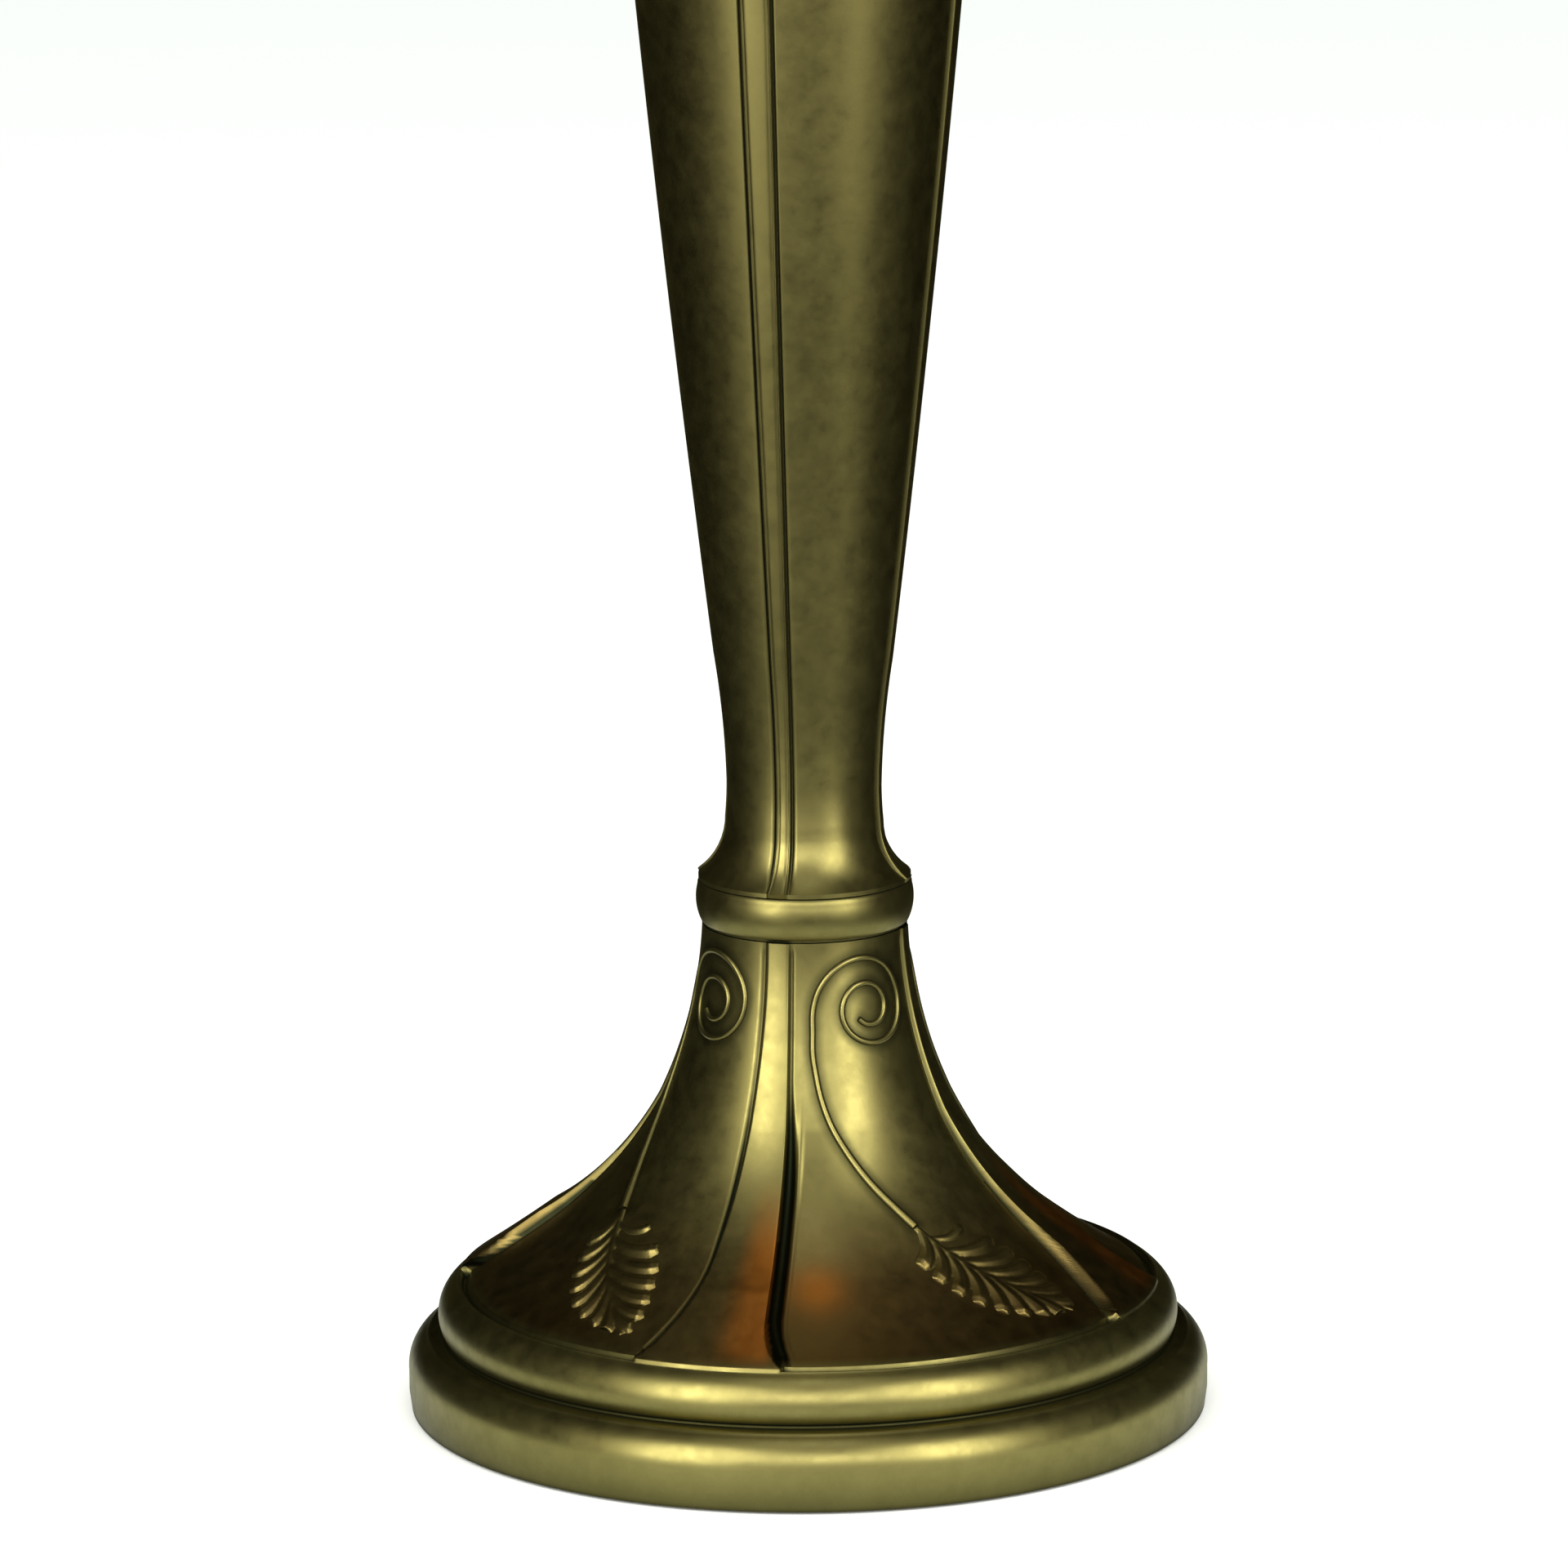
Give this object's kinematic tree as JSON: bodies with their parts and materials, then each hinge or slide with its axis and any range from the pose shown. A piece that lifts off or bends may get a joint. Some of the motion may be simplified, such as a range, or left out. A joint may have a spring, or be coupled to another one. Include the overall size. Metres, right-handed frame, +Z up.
{
  "type": "torchiere floor lamp",
  "caption": "Uplighter floor lamp: weighted round cast pedestal, tapered cast column, slender pole, rotary switch and an upturned glass bowl on a gallery.",
  "frame": {"origin": "middle of the felt's underside, on the floor", "axes": "+Z up the pole, -Y the front, where the switch knob is; raised bands of the pedestal face +X, -X, +Y and -Y"},
  "size_m": [0.38, 0.3798, 1.7233],
  "materials": {
    "antique_brass": "satin antique brass with dark patina in the hollows",
    "felt": "dense felt",
    "plated_steel": "zinc plated",
    "cast_iron": "rough, black wash",
    "black_plastic": "matt moulded",
    "lead_sheath": "brown insulation",
    "socket_brass": "bright thin brass",
    "liner_card": "pressed card",
    "porcelain": "unglazed white",
    "bulb_metal": "bright",
    "bulb_black_glass": "glassy black",
    "bulb_clear_glass": "clear",
    "filament": "yellow phosphor",
    "alabaster_glass": "opal, tea stained"
  },
  "bodies": {
    "stand": {"base_casting": "antique_brass", "base_cover": "plated_steel", "base_nut": "plated_steel", "base_weight": "cast_iron", "centre_contact": "socket_brass", "clamp_washer": "plated_steel", "collar_ring": "antique_brass", "cord_bushing": "black_plastic", "cover_screws": "plated_steel", "felt_pad": "felt", "gallery": "antique_brass", "housing_lid": "antique_brass", "lamp_lead": "lead_sheath", "lock_washer": "plated_steel", "lower_pole": "antique_brass", "nipple_nut": "plated_steel", "pole_bead": "antique_brass", "pole_husk": "antique_brass", "pole_knop": "antique_brass", "rod_coupling": "plated_steel", "saucer": "antique_brass", "screw_shell": "socket_brass", "socket_cap": "socket_brass", "socket_insulator": "porcelain", "socket_liner": "liner_card", "socket_nipple": "plated_steel", "socket_shell": "socket_brass", "supply_lead": "lead_sheath", "switch_body": "black_plastic", "switch_housing": "antique_brass", "switch_ring_nut": "antique_brass", "tie_rod_lower": "plated_steel", "tie_rod_upper": "plated_steel", "top_nut": "plated_steel", "upper_pole": "antique_brass", "vase_cap": "antique_brass", "vase_column": "antique_brass"},
    "knob": {"switch_stem": "plated_steel", "switch_knob": "antique_brass"},
    "bulb": {"bulb_contact": "bulb_metal", "bulb_glaze": "bulb_black_glass", "bulb_cap": "bulb_metal", "bulb_glass": "bulb_clear_glass", "bulb_stem": "bulb_clear_glass", "filaments": "filament"},
    "bowl": {"glass_bowl": "alabaster_glass", "glass_neck": "alabaster_glass"},
    "screw_1": {"thumbscrew_1": "antique_brass"},
    "screw_2": {"thumbscrew_2": "antique_brass"},
    "screw_3": {"thumbscrew_3": "antique_brass"}
  },
  "joints": [
    {"name": "knob_turn", "type": "hinge", "parent": "stand", "child": "knob", "pos_m": [0, 0, 1.51], "axis": [0, -1, 0], "continuous": true},
    {"name": "bulb_turn", "type": "hinge", "parent": "stand", "child": "bulb", "pos_m": [0, 0, 1.6], "axis": [0, 0, 1], "range_deg": [0, 1350]},
    {"name": "bowl_lift", "type": "slide", "parent": "stand", "child": "bowl", "axis": [0, 0, 1], "range_m": [0, 0.16]},
    {"name": "screw_1_turn", "type": "hinge", "parent": "stand", "child": "screw_1", "pos_m": [0.045, 0, 1.564], "axis": [1, 0, 0], "range_deg": [0, 990]},
    {"name": "screw_2_turn", "type": "hinge", "parent": "stand", "child": "screw_2", "pos_m": [-0.0225, 0.03897, 1.564], "axis": [-0.5, 0.866, 0], "range_deg": [0, 990]},
    {"name": "screw_3_turn", "type": "hinge", "parent": "stand", "child": "screw_3", "pos_m": [-0.0225, -0.03897, 1.564], "axis": [-0.5, -0.866, 0], "range_deg": [0, 990]}
  ]
}
